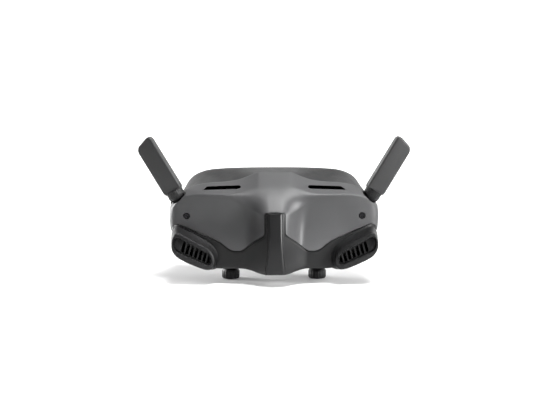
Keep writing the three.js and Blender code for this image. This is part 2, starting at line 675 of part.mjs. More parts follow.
function chassis() {
  const outline = [[-38, 31.5], [38, 31.5], [38, 48], [60, 48], [60, 67], [-60, 67], [-60, 48], [-38, 48]];
  const plate = prism("y", outline, CHASSIS_Y);
  const [x0, x1] = [ROD_HALF - 2.6, ROD_HALF + 0.4];
  const arm = box([x0, x1], [CHASSIS_Y[1] - 0.5, ROD_Y + 3], [48, 67]);
  const head = box([x0, x1], [ROD_Y - 4, ROD_Y + 3], [60, 72]);
  const leg = box([x0, x1], [-11.5, ROD_Y + 3], [27.5, 48.5]);
  const innerPost = box([14.5, 17.5], [CHASSIS_Y[1] - 0.5, ROD_Y + 2.3], [28.5, 34]);
  const side = union(arm, head, leg, innerPost);
  const rodHoles = Object.values(ROD_Z).map((z) => rod("x", [0, ROD_Y, z], [-70, 70], ROD_R + GAP, ROD_R + GAP, 16));
  const windows = [1, -1].map((s) => prism("y", roundedRect([s * 33, 51], 26, 24, 3), [-30, 0]));
  return cut(union(plate, side, mirrorX(side)), ...rodHoles, ...windows);
}
const guideRod = (z, from) => rod("x", [0, ROD_Y, z], [from, ROD_HALF], ROD_R, ROD_R, 16);

function mainBoard() {
  const board = box([-20, 20], [-34, -10], [20, 21.4]);
  const chips = [box([-7, 7], [-29, -15], [21.2, 23.4]), box([10, 17], [-22, -12], [21.2, 22.8])];
  return union(board, ...chips);
}

function heatSink() {
  const fins = Array.from({ length: 22 }, (_, i) => box([-53.2 + i * 5, -52 + i * 5], [-16.5, -9], [68.5, 72.3]));
  return union(box([-54, 54], [-17.5, -9], [67.5, 69]), ...fins);
}

function fanHousing() {
  const [y0, y1] = FAN.y;
  const half = FAN.size / 2;
  const ring = prism("y", roundedRect([FAN.x, FAN.z], FAN.size, FAN.size, 2), [y0, y1]);
  const bore = rod("y", [FAN.x, 0, FAN.z], [y0 - 1, y1 + 1], half - 1);
  const spokes = [0, 1, 2].map((i) => {
    const g = new THREE.BoxGeometry(half, 1.2, 1.6).translate(half / 2, 0, 0).rotateY((i * 2 * Math.PI) / 3 + 0.4);
    return solidOf(g.translate(FAN.x, y1 - 0.6, FAN.z));
  });
  const hub = rod("y", [FAN.x, 0, FAN.z], [y1 - 1.2, y1], 2.6);
  const axle = rod("y", [FAN.x, 0, FAN.z], [y0 + 2, y1 - 1], 0.7, 0.7, 10);
  return union(cut(ring, bore), ...spokes, hub, axle);
}

function fanRotor() {
  const [y0, y1] = [FAN.y[0] + 0.5, FAN.y[1] - 1.8];
  const blades = Array.from({ length: 7 }, (_, i) => {
    const g = new THREE.BoxGeometry(FAN.size / 2 - 4, 0.7, y1 - y0 - 0.6).rotateX(Math.PI / 2).rotateX(0.7);
    g.scale(1, 0.72, 1).translate(FAN.size / 4 + 0.65, 0, 0).rotateY((i * 2 * Math.PI) / 7);
    return solidOf(g.translate(FAN.x, (y0 + y1) / 2, FAN.z));
  });
  const hub = rod("y", [FAN.x, 0, FAN.z], [y0, y1], 3);
  const bore = rod("y", [FAN.x, 0, FAN.z], [y0 + 1, y1 + 1], 0.7 + GAP, 0.7 + GAP, 10);
  return cut(union(hub, ...blades), bore);
}

// ---------------------------------------------------------------- inside: eyepieces, focus and knobs

const RACK_X = EYE_X + PINION_R + 0.55;
const PINION_Z = [26.8, 31.2];

function lensBarrel() {
  const [y0, y1] = BARREL_Y;
  const tube = rod("y", [EYE_X, 0, EYE_Z], [y0, y1], BARREL_R, BARREL_R, 32);
  const bore = rod("y", [EYE_X, 0, EYE_Z], [y0 - 1, y1 + 1], BARREL_R - 1.4, BARREL_R - 1.4, 32);
  const ear = (z0, z1) => box([EYE_X - 4, EYE_X + 4], [ROD_Y - 2.7, ROD_Y + 2.7], [z0, z1]);
  const ears = union(ear(EYE_Z + 16, ROD_Z.upper + 2.6), ear(ROD_Z.lower - 2.6, EYE_Z - 16));
  const rodHoles = Object.values(ROD_Z).map((z) => rod("x", [0, ROD_Y, z], [10, 60], ROD_R + GAP, ROD_R + GAP, 16));
  const guide = cut(rod("z", [EYE_X, KNOB_Y, 0], [18.4, 24], 6.4), rod("z", [EYE_X, KNOB_Y, 0], [16, 25], 4.4 + GAP));
  const arm = box([EYE_X - 10.4, EYE_X - 5.6], [KNOB_Y - 2, KNOB_Y + 2], [18.8, EYE_Z - BARREL_R + 3.6]);
  const rackWay = box([RACK_X - 1.2, RACK_X + 4], [-14, 3.8], [30, EYE_Z - 12]);
  const pinionWay = rod("z", [EYE_X, KNOB_Y, 0], [24, 36], PINION_R + 1.4);
  return cut(union(tube, ears, guide, arm), bore, ...rodHoles, rackWay, pinionWay);
}

function lensCell() {
  const tube = rod("y", [EYE_X, 0, EYE_Z], [-7, 7.6], BARREL_R - 1.8);
  const bore = rod("y", [EYE_X, 0, EYE_Z], [-8, 9], BARREL_R - 3.2);
  const seat = rod("y", [EYE_X, 0, EYE_Z], [3, 9], BARREL_R - 2.6);
  const foot = box([RACK_X - 0.2, RACK_X + 2.6], [-7, -1], [29, EYE_Z - 14]);
  const bar = box([RACK_X + 0.1, RACK_X + 2.6], [-10.6, 0.6], [28.8, 32.2]);
  const teeth = Array.from({ length: 7 }, (_, i) => {
    const y = KNOB_Y + (i - 3) * TOOTH_PITCH + TOOTH_PITCH / 2;
    const tooth = [[RACK_X + 0.3, y - 0.5], [RACK_X + 0.3, y + 0.5], [RACK_X - 0.55, y + 0.2], [RACK_X - 0.55, y - 0.2]];
    return prism("z", tooth, [28.8, 32.2]);
  });
  const passage = rod("z", [EYE_X, KNOB_Y, 0], [24, 34.4], PINION_R + 0.9);
  return union(cut(union(tube, foot, bar), bore, seat, passage), ...teeth);
}

function eyepieceLens() {
  const r = BARREL_R - 2.9;
  const profile = [[0, 3.2], [r - 0.6, 3.2], [r, 3.8], [r, 4.8], [0.72 * r, 6.3], [0.4 * r, 7], [0, 7.3]];
  const g = new THREE.LatheGeometry(profile.map(([x, y]) => new THREE.Vector2(x, y)), 32);
  return solidOf(g.translate(EYE_X, 0, EYE_Z));
}

const displayPanel = () => prism("y", roundedRect([EYE_X, EYE_Z], 27, 20, 1), [-18.5, -17.3]);
const eyepieceGuard = () =>
  cut(rod("y", [EYE_X, 0, EYE_Z], [11.3, 17.5], 16.4, 15.6), rod("y", [EYE_X, 0, EYE_Z], [11, 18], 14.4));

const detentSleeve = () =>
  cut(rod("z", [EYE_X, KNOB_Y, 0], [9, 24.6], 4.4), rod("z", [EYE_X, KNOB_Y, 0], [8, 26], 1.6 + GAP));

function focusKnob() {
  const grip = rod("z", [EYE_X, KNOB_Y, 0], [0.7, 6.6], KNOB_R - 0.3, KNOB_R - 0.3, 24);
  const foot = rod("z", [EYE_X, KNOB_Y, 0], [0, 0.8], KNOB_R - 1, KNOB_R - 0.3, 24);
  const collar = rod("z", [EYE_X, KNOB_Y, 0], [6.5, KNOB_H], KNOB_R - 0.5, KNOB_R - 1.4, 24);
  const ribs = Array.from({ length: 18 }, (_, i) => {
    const g = new THREE.BoxGeometry(1, 1.1, 5.4).translate(KNOB_R - 0.6, 0, 3.7).rotateZ((i * Math.PI) / 9);
    return solidOf(g.translate(EYE_X, KNOB_Y, 0));
  });
  const shaft = rod("z", [EYE_X, KNOB_Y, 0], [KNOB_H - 1, PINION_Z[1]], 1.6, 1.6, 16);
  return union(grip, foot, collar, ...ribs, shaft, pinion());
}

function pinion() {
  const points = Array.from({ length: PINION_TEETH }, (_, i) => {
    const a = (i * 2 * Math.PI) / PINION_TEETH;
    return [[-0.24, 1.9], [-0.1, 2.75], [0.1, 2.75], [0.24, 1.9]].map(([turn, r]) => [
      EYE_X + r * Math.cos(a + turn),
      KNOB_Y + r * Math.sin(a + turn),
    ]);
  }).flat();
  return prism("z", points, PINION_Z);
}

// The slot in the floor that the knob's neck slides along with the eyepiece.
function knobSlot() {
  const travel = { from: -8, to: 2 };
  const middle = EYE_X + (travel.from + travel.to) / 2;
  const length = travel.to - travel.from + 2 * (4.4 + 1);
  return prism("z", roundedRect([middle, KNOB_Y], length, 2 * (4.4 + 1), 5.4), [5, 26]);
}

// ---------------------------------------------------------------- assembly

const plastic = (color, roughness = 0.6) => new THREE.MeshStandardMaterial({ color, roughness, metalness: 0 });
const metal = (color, roughness = 0.35) => new THREE.MeshStandardMaterial({ color, roughness, metalness: 1 });
const glass = (color) => new THREE.MeshStandardMaterial({ color, roughness: 0.05, metalness: 0, transparent: true, opacity: 0.35 });
const MATERIALS = {
  cover: plastic(0x6b6b6c, 0.55),
  trim: plastic(0x2c2c2d, 0.6),
  black: plastic(0x151515, 0.5),
  gloss: plastic(0x101012, 0.15),
  board: plastic(0x17402a, 0.5),
  rubber: plastic(0x1a1a1a, 0.9),
  foam: plastic(0x1e1e20, 0.95),
  steel: metal(0x9a9a9c),
  aluminium: metal(0xb4b5b8, 0.4),
  lens: glass(0xcfd8e0),
};

const goggles = new THREE.Group();
function add(name, solid, material) {
  const mesh = new THREE.Mesh(geometryOf(solid), MATERIALS[material]);
  mesh.name = name;
  goggles.add(mesh);
}

const knobSlots = [knobSlot(), mirrorX(knobSlot())];
const pockets = [antennaPocket(), mirrorX(antennaPocket())];
const templeHoles = [
  mirrorX(touchPadHole()),
  ...Object.values(SOCKETS).map(socketHole),
  rod("x", [0, -1, AUDIO.z], [70, 90], AUDIO.r + GAP),
  ...Object.values(BUTTONS).map(buttonHole),
];

add("front_cover", symmetric(frontCover()), "cover");
add("lower_shroud", symmetric(cut(lowerShroud(), ...knobSlots)), "trim");
add("nose_strip", stripLoft(0, 0, 1.2), "black");
add("rear_frame", cut(symmetric(rearFrame()), ...pockets, ...knobSlots, ...templeHoles), "trim");
add("face_foam", symmetric(faceFoam()), "foam");
add("face_plate", facePlate(), "black");
add("proximity_window", rod("y", [0, 0, 66], [PLATE_Y[0], PLATE_Y[1] + 0.4], 3), "gloss");
add("touch_pad", mirrorX(touchPad()), "gloss");
for (const [name, spec] of Object.entries(SOCKETS)) add(name, socket(spec), "steel");
add(
  "audio_jack",
  cut(rod("x", [0, -1, AUDIO.z], [73, 82], AUDIO.r), rod("x", [0, -1, AUDIO.z], [75, 83], AUDIO.hole)),
  "steel",
);
for (const [name, spec] of Object.entries(BUTTONS)) add(name, button(spec), "black");
add("chassis", chassis(), "aluminium");
add("guide_rod_upper", guideRod(ROD_Z.upper, -ROD_HALF), "steel");
add("main_board", mainBoard(), "board");
add("heat_sink", heatSink(), "aluminium");

const PAIRED = {
  guide_rod_lower: [() => guideRod(ROD_Z.lower, 14.8), "steel"],
  vent_grille: [ventGrille, "black"],
  front_screw: [frontScrew, "steel"],
  strap_lug: [strapLug, "black"],
  fan_housing: [fanHousing, "black"],
  fan_rotor: [fanRotor, "black"],
  lens_barrel: [lensBarrel, "black"],
  display_panel: [displayPanel, "gloss"],
  eyepiece_guard: [eyepieceGuard, "rubber"],
  lens_cell: [lensCell, "black"],
  eyepiece_lens: [eyepieceLens, "lens"],
  detent_sleeve: [detentSleeve, "black"],
  focus_knob: [focusKnob, "black"],
};
for (const [name, side] of [["left", 1], ["right", -1]]) {
  for (const [part, [make, material]] of Object.entries(PAIRED)) {
    add(`${part}_${name}`, side > 0 ? make() : mirrorX(make()), material);
  }
  add(`antenna_${name}`, antennaBlade(side), "trim");
  add(`antenna_pin_${name}`, antennaPinRod(side, 1.2, [-7.9, 4]), "steel");
  add(`antenna_socket_${name}`, antennaSocket(side), "black");
}

export default goggles;
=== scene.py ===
import math

import bmesh
import bpy
from mathutils import Matrix, Vector


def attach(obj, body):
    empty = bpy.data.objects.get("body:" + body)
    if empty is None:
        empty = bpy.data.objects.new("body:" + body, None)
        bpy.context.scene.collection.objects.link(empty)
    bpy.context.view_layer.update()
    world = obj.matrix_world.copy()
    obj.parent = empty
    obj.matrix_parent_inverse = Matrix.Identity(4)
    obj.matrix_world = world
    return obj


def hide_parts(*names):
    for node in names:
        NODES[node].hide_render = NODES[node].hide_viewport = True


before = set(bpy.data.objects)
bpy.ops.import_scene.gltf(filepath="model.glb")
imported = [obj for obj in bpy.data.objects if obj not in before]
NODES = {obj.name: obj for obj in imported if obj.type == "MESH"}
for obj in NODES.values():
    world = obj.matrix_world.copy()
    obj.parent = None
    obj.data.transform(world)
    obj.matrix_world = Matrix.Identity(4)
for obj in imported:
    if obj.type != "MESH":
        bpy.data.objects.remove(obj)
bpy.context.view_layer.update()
MM = 0.001
IMAGE_WIDTH, FOCAL_PIXELS, SENSOR_MM = 550.0, 1360.0, 36.0


# ---------------------------------------------------------------- camera and light

def place_camera():
    """Looks from a little above and almost straight in front."""
    distance, elevation, azimuth = 1.1, math.radians(7.0), math.radians(-1.3)
    target = Vector((0.0009, -0.002, 0.0579))
    back = Vector((
        math.sin(azimuth) * math.cos(elevation),
        -math.cos(azimuth) * math.cos(elevation),
        math.sin(elevation),
    ))
    data = bpy.data.cameras.new("camera")
    data.sensor_width = SENSOR_MM
    data.lens = SENSOR_MM * FOCAL_PIXELS / IMAGE_WIDTH
    data.clip_end = 50.0
    camera = bpy.data.objects.new("camera", data)
    camera.location = target + back * distance
    camera.rotation_euler = back.to_track_quat("Z", "Y").to_euler()
    bpy.context.scene.collection.objects.link(camera)
    bpy.context.scene.camera = camera


def area_light(name, location, size, power, aim=(0.0, 0.0, 0.05), spread=180.0):
    data = bpy.data.lights.new(name, "AREA")
    data.shape = "RECTANGLE"
    data.size, data.size_y = size
    data.energy = power
    data.spread = math.radians(spread)
    light = bpy.data.objects.new(name, data)
    light.location = location
    direction = Vector(location) - Vector(aim)
    light.rotation_euler = direction.to_track_quat("Z", "Y").to_euler()
    bpy.context.scene.collection.objects.link(light)


place_camera()
area_light("key", (1.25, -0.62, 0.45), (0.45, 0.6), 36.0)
area_light("rim", (-1.0, 0.42, 0.2), (0.12, 0.6), 26.0)
area_light("top", (0.2, -0.32, 1.2), (0.6, 0.3), 2.1, spread=50.0)
area_light("back", (0.0, 1.2, 0.7), (1.2, 0.5), 0.8)
world = bpy.data.worlds.new("studio")
world.use_nodes = True
world.node_tree.nodes["Background"].inputs["Color"].default_value = (1.0, 1.0, 1.0, 1.0)
world.node_tree.nodes["Background"].inputs["Strength"].default_value = 0.08
bpy.context.scene.world = world
bpy.context.scene.view_settings.view_transform = "Standard"


# ---------------------------------------------------------------- materials

def material(name, colour, roughness, grain=0.3, grain_size=0.0004, mottle=0.08, metallic=0.0, sheen=0.0,
             coat=0.0, wear=0.12, gloss=0.3):
    """A surface with fine moulded grain, uneven roughness, a little mottling and paler worn edges."""
    mat = bpy.data.materials.new(name)
    mat.use_nodes = True
    tree = mat.node_tree
    shader = tree.nodes["Principled BSDF"]
    coords = tree.nodes.new("ShaderNodeTexCoord").outputs["Object"]

    def noise(size, detail):
        node = tree.nodes.new("ShaderNodeTexNoise")
        node.inputs["Scale"].default_value = 1.0 / size
        node.inputs["Detail"].default_value = detail
        tree.links.new(coords, node.inputs["Vector"])
        return node.outputs["Fac"]

    def spread(value, low, high, low_in=0.0, high_in=1.0):
        node = tree.nodes.new("ShaderNodeMapRange")
        node.inputs["From Min"].default_value = low_in
        node.inputs["From Max"].default_value = high_in
        node.inputs["To Min"].default_value = low
        node.inputs["To Max"].default_value = high
        tree.links.new(value, node.inputs["Value"])
        return node.outputs["Result"]

    broad, fine = noise(0.018, 3.0), noise(grain_size, 2.0)
    pointiness = tree.nodes.new("ShaderNodeNewGeometry").outputs["Pointiness"]
    worn = spread(pointiness, 0.0, wear, 0.52, 0.6)
    shade = tree.nodes.new("ShaderNodeMath")
    shade.operation = "ADD"
    tree.links.new(spread(broad, 1.0 - mottle, 1.0 + mottle), shade.inputs[0])
    tree.links.new(worn, shade.inputs[1])
    tint = tree.nodes.new("ShaderNodeVectorMath")
    tint.operation = "SCALE"
    tint.inputs[0].default_value = colour
    tree.links.new(shade.outputs[0], tint.inputs["Scale"])
    tree.links.new(tint.outputs[0], shader.inputs["Base Color"])
    tree.links.new(spread(noise(0.006, 4.0), roughness - 0.07, roughness + 0.07), shader.inputs["Roughness"])
    bump = tree.nodes.new("ShaderNodeBump")
    bump.inputs["Strength"].default_value = grain
    bump.inputs["Distance"].default_value = grain_size * 0.25
    tree.links.new(fine, bump.inputs["Height"])
    tree.links.new(bump.outputs["Normal"], shader.inputs["Normal"])
    shader.inputs["Metallic"].default_value = metallic
    shader.inputs["Sheen Weight"].default_value = sheen
    shader.inputs["Coat Weight"].default_value = coat
    shader.inputs["Specular IOR Level"].default_value = gloss
    return mat


COVER = material("cover_plastic", (0.052, 0.052, 0.0535), 0.46, grain=0.35, mottle=0.05, gloss=0.4)
TRIM = material("trim_plastic", (0.007, 0.007, 0.0073), 0.46, grain=0.4, mottle=0.08)
BLADE = material("antenna_plastic", (0.017, 0.017, 0.0175), 0.46, grain=0.4, mottle=0.06, gloss=0.5)
FRAME = material("frame_plastic", (0.008, 0.008, 0.0083), 0.52, grain=0.4, mottle=0.08, gloss=0.2)
BLACK = material("black_plastic", (0.007, 0.007, 0.0073), 0.46, grain=0.3)
STRIP = material("strip_plastic", (0.009, 0.009, 0.0095), 0.4, grain=0.25)
GLOSS = material("gloss_black", (0.008, 0.008, 0.009), 0.14, grain=0.03, coat=0.5)
RUBBER = material("guard_rubber", (0.016, 0.016, 0.016), 0.75, grain=0.5)
STEEL = material("steel", (0.45, 0.45, 0.46), 0.32, grain=0.12, metallic=1.0)
DARK_STEEL = material("dark_steel", (0.035, 0.035, 0.037), 0.4, grain=0.12, metallic=1.0)
BOARD = material("board", (0.012, 0.075, 0.038), 0.42, grain=0.3, mottle=0.15)
FOAM = material("seal_foam", (0.020, 0.020, 0.021), 0.92, grain=0.9, grain_size=0.0009, sheen=0.12)


def lens_glass():
    """Clear glass with a weak violet coating."""
    mat = bpy.data.materials.new("lens_glass")
    mat.use_nodes = True
    shader = mat.node_tree.nodes["Principled BSDF"]
    shader.inputs["Base Color"].default_value = (0.86, 0.88, 0.93, 1.0)
    shader.inputs["Roughness"].default_value = 0.02
    shader.inputs["Transmission Weight"].default_value = 1.0
    shader.inputs["IOR"].default_value = 1.5
    shader.inputs["Coat Weight"].default_value = 0.4
    shader.inputs["Coat Tint"].default_value = (0.72, 0.72, 1.0, 1.0)
    return mat


GLASS = lens_glass()


# ---------------------------------------------------------------- curves

def lerp(a, b, t):
    return a + (b - a) * t


def smoothstep(a, b, x):
    t = min(1.0, max(0.0, (x - a) / (b - a)))
    return t * t * (3 - 2 * t)


def smootherstep(a, b, x):
    t = min(1.0, max(0.0, (x - a) / (b - a)))
    return t**3 * (6 * t * t - 15 * t + 10)


def cubic_bezier(a, b, c, d, t):
    s = 1 - t
    return s * s * s * a + 3 * s * s * t * b + 3 * s * t * t * c + t * t * t * d


def through(knots):
    """A smooth function through (x, y) knots, flat beyond its ends."""
    def slope(i):
        a, b = knots[max(0, i - 1)], knots[min(len(knots) - 1, i + 1)]
        return (b[1] - a[1]) / (b[0] - a[0])

    def value(x):
        if x <= knots[0][0]:
            return knots[0][1]
        if x >= knots[-1][0]:
            return knots[-1][1]
        i = next(k for k, knot in enumerate(knots) if knot[0] > x) - 1
        h = knots[i + 1][0] - knots[i][0]
        t = (x - knots[i][0]) / h
        m0, m1, c, d = slope(i) * h, slope(i + 1) * h, knots[i][1], knots[i + 1][1]
        return (c * (2 * t**3 - 3 * t**2 + 1) + m0 * (t**3 - 2 * t**2 + t)
                + d * (3 * t**2 - 2 * t**3) + m1 * (t**3 - t**2))

    return value


def loop(points, count):
    """A closed smooth loop through (x, z) points, as count points."""
    n, out = len(points), []
    for k in range(count):
        s = n * k / count
        i, t = int(s), s - int(s)
        p = [points[(i + j - 1) % n] for j in range(4)]
        out.append(tuple(
            0.5 * (2 * p[1][a]
                   + (p[2][a] - p[0][a]) * t
                   + (2 * p[0][a] - 5 * p[1][a] + 4 * p[2][a] - p[3][a]) * t * t
                   + (3 * p[1][a] - p[0][a] - 3 * p[2][a] + p[3][a]) * t**3)
            for a in (0, 1)
        ))
    return out


def mirrored(half):
    """Completes a half outline whose ends lie on the middle plane."""
    return half + [(-x, z) for x, z in reversed(half[1:-1])]


def inset(points, distance):
    """Moves each point of a closed loop inward by its own distance."""
    n = len(points)
    area = sum(p[0] * points[(i + 1) % n][1] - points[(i + 1) % n][0] * p[1] for i, p in enumerate(points))
    out = []
    for i, p in enumerate(points):
        a, b = points[i - 1], points[(i + 1) % n]
        length = math.hypot(b[0] - a[0], b[1] - a[1])
        d = (distance(p) if callable(distance) else distance) * math.copysign(1, area)
        out.append((p[0] - (b[1] - a[1]) / length * d, p[1] + (b[0] - a[0]) / length * d))
    return out


# ---------------------------------------------------------------- mesh helpers

def new_object(name, points, faces, mat):
    mesh = bpy.data.meshes.new(name)
    mesh.from_pydata([(x * MM, y * MM, z * MM) for x, y, z in points], [], faces)
    mesh.materials.append(mat)
    obj = bpy.data.objects.new(name, mesh)
    bpy.context.scene.collection.objects.link(obj)
    tidy_normals(obj)
    return obj


def tidy_normals(obj):
    """Turns every face outwards."""
    mesh = bmesh.new()
    mesh.from_mesh(obj.data)
    bmesh.ops.recalc_face_normals(mesh, faces=mesh.faces)
    if mesh.calc_volume(signed=True) < 0:
        bmesh.ops.reverse_faces(mesh, faces=mesh.faces)
    mesh.to_mesh(obj.data)
    mesh.free()


def grid_faces(n, m, closed):
    faces = [
        (i * m + j, i * m + (j + 1) % m, ((i + 1) % n) * m + (j + 1) % m, ((i + 1) % n) * m + j)
        for i in range(n if closed else n - 1) for j in range(m)
    ]
    if not closed:
        faces += [tuple(range(m))[::-1], tuple(range((n - 1) * m, n * m))]
    return faces


def loft(name, rows, mat, closed=False):
    """A skin over equal rows of points, with end caps unless the rows close on themselves."""
    points = [p for row in rows for p in row]
    return new_object(name, points, grid_faces(len(rows), len(rows[0]), closed), mat)


def loft_y(name, sections, mat):
    return loft(name, [[(x, y, z) for x, z in points] for y, points in sections], mat)


def prism(name, axis, points, span, mat):
    """points are (x, z) for axis y, (y, z) for axis x and (x, y) for axis z."""
    place = {
        "x": lambda p, s: (s, p[0], p[1]),
        "y": lambda p, s: (p[0], s, p[1]),
        "z": lambda p, s: (p[0], p[1], s),
    }[axis]
    return loft(name, [[place(p, s) for p in points] for s in span], mat)


def rounded_rect(centre, width, height, radius, steps=8):
    radius = min(radius, width / 2 - 0.01, height / 2 - 0.01)
    corners = [(1, -1, -90), (1, 1, 0), (-1, 1, 90), (-1, -1, 180)]
    return [
        (centre[0] + sx * (width / 2 - radius) + radius * math.cos(math.radians(start + 90 * k / steps)),
         centre[1] + sz * (height / 2 - radius) + radius * math.sin(math.radians(start + 90 * k / steps)))
        for sx, sz, start in corners for k in range(steps + 1)
    ]


def lathe(name, profile, axis, centre, mat, sides=96):
    """Turns a closed (radius, along) profile about an axis through centre."""
    turn = {
        "x": lambda r, s, a: (s, r * math.cos(a), r * math.sin(a)),
        "y": lambda r, s, a: (r * math.cos(a), s, r * math.sin(a)),
        "z": lambda r, s, a: (r * math.cos(a), r * math.sin(a), s),
    }[axis]
    rows = []
    for k in range(sides):
        a = 2 * math.pi * k / sides
        rows.append([tuple(c + o for c, o in zip(centre, turn(r, s, a))) for r, s in profile])
    obj = loft(name, rows, mat, closed=True)
    mesh = bmesh.new()
    mesh.from_mesh(obj.data)
    bmesh.ops.remove_doubles(mesh, verts=mesh.verts, dist=1e-6)
    bmesh.ops.dissolve_degenerate(mesh, edges=mesh.edges, dist=1e-7)
    mesh.to_mesh(obj.data)
    mesh.free()
    tidy_normals(obj)
    return obj


def apply_modifiers(obj):
    depsgraph = bpy.context.evaluated_depsgraph_get()
    mesh = bpy.data.meshes.new_from_object(obj.evaluated_get(depsgraph))
    obj.modifiers.clear()
    old, obj.data = obj.data, mesh
    bpy.data.meshes.remove(old)


def combine(obj, tools, operation="DIFFERENCE"):
    for tool in tools:
        change = obj.modifiers.new("combine", "BOOLEAN")
        change.operation = operation
        change.solver = "MANIFOLD"
        change.object = tool
    apply_modifiers(obj)
    for tool in tools:
        bpy.data.objects.remove(tool)
    return obj


def soften(obj, width, segments=2, angle=35.0):
    """Rounds the sharp edges and smooths the shading of the rest."""
    change = obj.modifiers.new("soften", "BEVEL")
    change.width = width * MM
    change.segments = segments
    change.limit_method = "ANGLE"
    change.angle_limit = math.radians(angle)
    change.use_clamp_overlap = True
    apply_modifiers(obj)
    return smooth(obj, angle)


def smooth(obj, angle=35.0):
    obj.data.shade_smooth()
    obj.data.set_sharp_from_angle(angle=math.radians(angle))
    return obj


def mirror_x(obj, name):
    """A copy on the other side of the middle plane."""
    copy = obj.copy()
    copy.data = obj.data.copy()
    copy.name = name
    copy.data.transform(Matrix.Scale(-1, 4, (1, 0, 0)))
    copy.data.flip_normals()
    bpy.context.scene.collection.objects.link(copy)
    return copy


def finish_piece(obj, body, node):
    obj.name = node + "_look"
    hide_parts(node)
    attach(obj, body)
    return obj


def copy_of(node, mat):
    """A free copy of a CAD piece in another material."""
    obj = NODES[node].copy()
    obj.data = NODES[node].data.copy()
    obj.parent = None
    for key in list(obj.keys()):
        del obj[key]
    bpy.context.scene.collection.objects.link(obj)
    obj.data.materials.clear()
    obj.data.materials.append(mat)
    return obj


def refine(node, body, mat, width=0.25, segments=2, angle=30.0):
    """A finished copy of a CAD piece: the same shape with rounded edges."""
    obj = copy_of(node, mat)
    mesh = bmesh.new()
    mesh.from_mesh(obj.data)
    bmesh.ops.remove_doubles(mesh, verts=mesh.verts, dist=1e-6)
    bmesh.ops.dissolve_limit(mesh, angle_limit=math.radians(1.0), verts=mesh.verts, edges=mesh.edges)
    mesh.to_mesh(obj.data)
    mesh.free()
    soften(obj, width, segments, angle)
    return finish_piece(obj, body, node)


def repaint(node, mat):
    """Keeps a CAD piece as it is, in another material."""
    mesh = NODES[node].data
    mesh.materials.clear()
    mesh.materials.append(mat)


# ---------------------------------------------------------------- front shell surfaces

HALF_WIDTH, SEAM_Y, WALL, GAP = 83.7, -12.0, 2.0, 0.3
PIVOT, BALL_R = (78.6, -15.5, 70.3), 6.6
POCKET_R = BALL_R + 1.8
SCREW_X, SCREW_Z, SCREW_HOLE_R = 69.8, 52.9, 2.8
EYE_X, EYE_Z, KNOB_Y = 35, 50, -5
CREASE_Z, FACE_Y, CORNER_X, CORNER_U = 70.2, -33.5, 68.0, 0.72
SHROUD_Y, FACE_BOW = -37, 0.002
COVER_LOW, SHROUD_HIGH, FLOOR_EDGE_R, FLOOR_Z = 24, 61, 3, 12.3

# heights, half widths and depths along the shell, as knots of smooth curves
top_edge = through([(0, 87.2), (10, 87.2), (13.6, 86.8), (20, 84.3), (28, 81.4), (35, 80), (41, 79.3),
                    (56, 78.2), (66, 76), (74, 72.2), (80, 67), (HALF_WIDTH, 60)])
crease_height = through([(0, CREASE_Z), (60, CREASE_Z), (70, 68.9), (77, 65.8), (HALF_WIDTH, 57)])
half_width_at = through([(24, 79), (36, 82.2), (51, HALF_WIDTH), (62, 82.8), (68, 82), (90, 82)])
nose_depth = through([(8, -49.6), (13, -51.4), (30, -52), (42, -50.6), (58, -46.6), (62, -45)])
nose_half_width = through([(8, 7.9), (12, 7.5), (34, 5.7), (62, 5.5)])
floor_height = through([(0, 9.5), (8, 9.5), (13, 9.9), (21, 11.6), (27, 12.3), (50, 12.3), (62, 15.5),
                        (72, 22), (80, 32), (HALF_WIDTH, 40)])


def crease_radius(x):
    """How softly the face turns into the top ledge: softest on the nose mound."""
    return 1.4 + 12 * (1 - smoothstep(8, 42, x))


def face_depth(x, z):
    """The front cover's face: a dished cheek that rises to the ridge in the middle."""
    drop = CREASE_Z - z
    dish = 3 * (1 - ((drop - 17) / 17) ** 2) * (1 - 0.6 * smoothstep(50, 75, x))
    ridge_height = 2 + 16.5 * (1 - math.exp(-max(0, drop) / 10))
    ridge_foot = 25 + 18 * math.exp(-max(0, drop) / 8)
    return FACE_Y + FACE_BOW * x * x + dish - ridge_height * (1 - smootherstep(3, ridge_foot, x))


def lower_depth(x, z):
    """The shroud's face: flat outwards, and drawn forward to the nose in the middle."""
    foot = 28.0
    if x >= foot:
        return SHROUD_Y + FACE_BOW * x * x
    half = nose_half_width(z)
    t = min(1, max(0, (x - half) / (foot - half)))
    return lerp(nose_depth(z), SHROUD_Y + FACE_BOW * foot * foot, 1 - (1 - t) ** 1.5)


def station(u):
    """x along the shell for u from 0 to 1, with how far round the corner it is."""
    w = max(0, (u - CORNER_U) / (1 - CORNER_U))
    x = CORNER_X * u / CORNER_U if u < CORNER_U else cubic_bezier(CORNER_X, 77, HALF_WIDTH, HALF_WIDTH, w)
    return x, w


def plan(depth, x, w, z, thick):
    """y on the face, or on the corner that leads back to the seam plane."""
    if w == 0:
        return depth(x, z) + thick
    start = depth(CORNER_X, z) + thick
    return cubic_bezier(start, start + 2.4, SEAM_Y - 9, SEAM_Y, w)


def bend_path(start, corner, end, t):
    """A point on the curve that rounds off a corner."""
    return [(1 - t) ** 2 * a + 2 * t * (1 - t) * b + t * t * c for a, b, c in zip(start, corner, end)]


